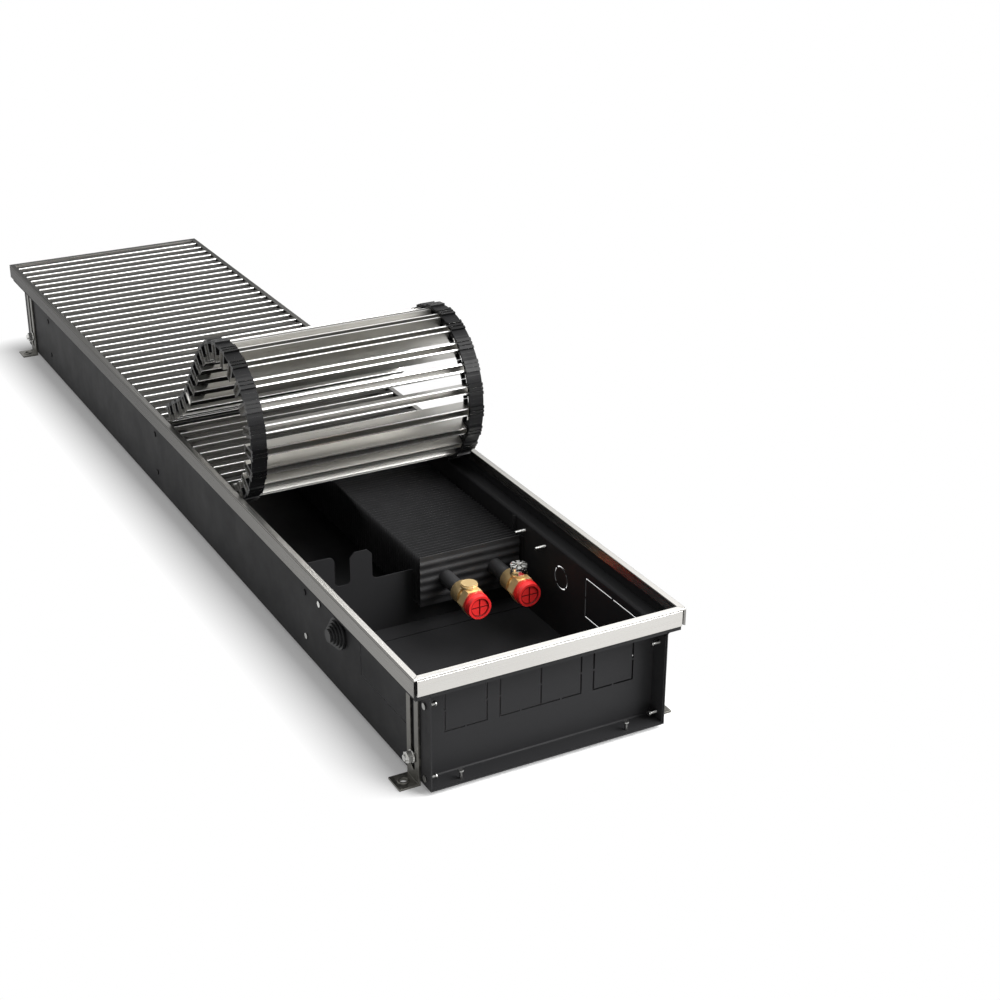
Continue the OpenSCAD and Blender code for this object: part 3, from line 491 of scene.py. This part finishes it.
def ease_edges(name, width):
    """Rounds a CAD node's edges a little, as folded, cut or cast edges are."""
    weld = nodes[name].modifiers.new("join", "WELD")
    weld.merge_threshold = WELD_REACH
    bevel = nodes[name].modifiers.new("ease", "BEVEL")
    bevel.width = width
    bevel.segments = 1
    bevel.limit_method = "ANGLE"
    bevel.angle_limit = EDGE_ANGLE
    bevel.harden_normals = True
    bevel.use_clamp_overlap = True


for width, names in EDGE_WIDTHS:
    for name in names:
        ease_edges(name, width)
for material, names in EDGE_MATERIALS:
    for name in names:
        nodes[name].modifiers["ease"].material = slot_of(nodes[name].data, material)


# Rubber webs between the rolled slats' combs: one piece bends across each hinge

COMB_IN, COMB_OUT = 0.1079, 0.1236
WEB_DROP = 0.0114
WEB_THICK = 0.0021
HALF_LINK = 0.0041
WEB_STEPS = 8

# Heading of the laid grille, from the far end toward the connection end
LAID_ANGLE = math.pi

hinges = [j for j in frame["joints"] if j["name"].startswith("slat_hinge_")]
hinges.sort(key=lambda j: j["name"], reverse=True)


def turn_of(joint):
    """Signed turn at a hinge in the photo's pose: its range joins that pose, 0, and a flat link."""
    return math.radians(sum(joint["range_deg"]))


def heading(angle):
    """Unit vector along the grille, and one from its top to its base."""
    along = Vector((0, math.cos(angle), math.sin(angle)))
    return along, Vector((0, -math.sin(angle), math.cos(angle)))


def link_web(name, middle, before, after):
    """Strip pair, left and right, that curves from one comb to the next."""
    (along_a, down_a), (along_b, down_b) = heading(before), heading(after)
    start = middle + down_a * WEB_DROP - along_a * HALF_LINK
    end = middle + down_b * WEB_DROP + along_b * HALF_LINK
    bend = start + along_a * ((end - start).length / 2)
    bm = bmesh.new()
    for side in (-1, 1):
        rings = []
        for i in range(WEB_STEPS + 1):
            t = i / WEB_STEPS
            at = (1 - t) ** 2 * start + 2 * t * (1 - t) * bend + t * t * end
            down = (down_a * (1 - t) + down_b * t).normalized() * WEB_THICK / 2
            corners = ((COMB_IN, -down), (COMB_OUT, -down), (COMB_OUT, down), (COMB_IN, down))
            rings.append([
                bm.verts.new(at + offset + Vector((side * x, 0, 0))) for x, offset in corners
            ])
        for a, b in zip(rings, rings[1:]):
            for i in range(len(a)):
                bm.faces.new((a[i], a[i - 1], b[i - 1], b[i]))
        bm.faces.new(rings[0])
        bm.faces.new(rings[-1][::-1])
    bmesh.ops.recalc_face_normals(bm, faces=bm.faces)
    mesh = bpy.data.meshes.new(name)
    bm.to_mesh(mesh)
    bm.free()
    return add_object(name, mesh), start, end


angle = LAID_ANGLE
for joint in hinges:
    number = joint["name"][-2:]
    after = angle - turn_of(joint)
    middle = Vector(joint["pos_m"])
    web, start, end = link_web("link_web_" + number, middle, angle, after)
    paint(web, web_black)
    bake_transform(web)
    angle = after
    dress_slats("grille_slat_" + number, heading(angle)[1])


# Floor and light

WHITE = (1, 1, 1, 1)
FLOOR_PALE = (0.9, 0.9, 0.9, 1)
FLOOR_HALF = 30.0
WORLD_LIGHT = 0.22

# Half size of the box that the shadow fades away from, and where the fade starts and ends
SHADOW_FROM = (0.125, 0.6, 0)
SHADOW_NEAR, SHADOW_WIDE = -0.012, 0.054


def seen_directly(tree):
    """One for camera, glossy and transmission rays, and zero for the rays that light the object."""
    path = add_node(tree, "LightPath", {})
    best = path.outputs["Is Camera Ray"]
    for ray in ("Is Glossy Ray", "Is Transmission Ray"):
        either = add_node(tree, "Math", {0: best, 1: path.outputs[ray]}, "MAXIMUM")
        best = either.outputs["Value"]
    return best


def floor_material():
    """White floor that takes the object's shadow beside it and fades to plain white further off."""
    s = Shader("floor_pale", base_color=FLOOR_PALE, roughness=0.95, specular_ior_level=0.0)
    place = s.coords
    for step, *value in (("ABSOLUTE",), ("SUBTRACT", SHADOW_FROM), ("MAXIMUM", (0, 0, 0))):
        inputs = dict(enumerate((place, *value)))
        place = s.add("VectorMath", inputs, step).outputs["Vector"]
    away = s.add("VectorMath", {0: place}, "LENGTH").outputs["Value"]
    shown = s.spread(away, 0, 1, SHADOW_NEAR, SHADOW_WIDE)
    fade = s.calc("MULTIPLY", shown, seen_directly(s.tree))
    white = s.add("Emission", {"Color": WHITE}).outputs["Emission"]
    mix = s.add("MixShader", {"Fac": fade, 1: s.bsdf.outputs["BSDF"], 2: white})
    s.tree.links.new(mix.outputs["Shader"], s.tree.nodes["Material Output"].inputs["Surface"])
    return s.material


corners = [(x * FLOOR_HALF, y * FLOOR_HALF, 0) for x, y in ((-1, -1), (1, -1), (1, 1), (-1, 1))]
floor_mesh = bpy.data.meshes.new("floor")
floor_mesh.from_pydata(corners, [], [tuple(range(len(corners)))])
floor = add_object("floor", floor_mesh)
paint(floor, floor_material())

# The world lights softly, and shows as plain white to the camera and in metal
world = bpy.data.worlds.new("world")
scene.world = world
world.use_nodes = True
tree = world.node_tree
sky = tree.nodes["Background"]
sky.inputs["Color"].default_value = WHITE
levels = {"Value": seen_directly(tree), "To Min": WORLD_LIGHT, "To Max": 1.0}
strength = add_node(tree, "MapRange", levels)
tree.links.new(strength.outputs["Result"], sky.inputs["Strength"])


def area_light(name, at, aim, size, power):
    data = bpy.data.lights.new(name, "AREA")
    data.shape = "RECTANGLE"
    data.size, data.size_y = size
    data.energy = power
    obj = add_object(name, data)
    obj.location = at
    obj.rotation_euler = (Vector(aim) - Vector(at)).to_track_quat("-Z", "Y").to_euler()


area_light("key", at=(2.5, -2.2, 2.3), aim=(0, -0.2, 0.1), size=(3.2, 3.2), power=330)
area_light("top", at=(0.2, -0.7, 3.0), aim=(0, -0.1, 0.1), size=(2.2, 1.2), power=32)

scene.view_settings.view_transform = "Standard"
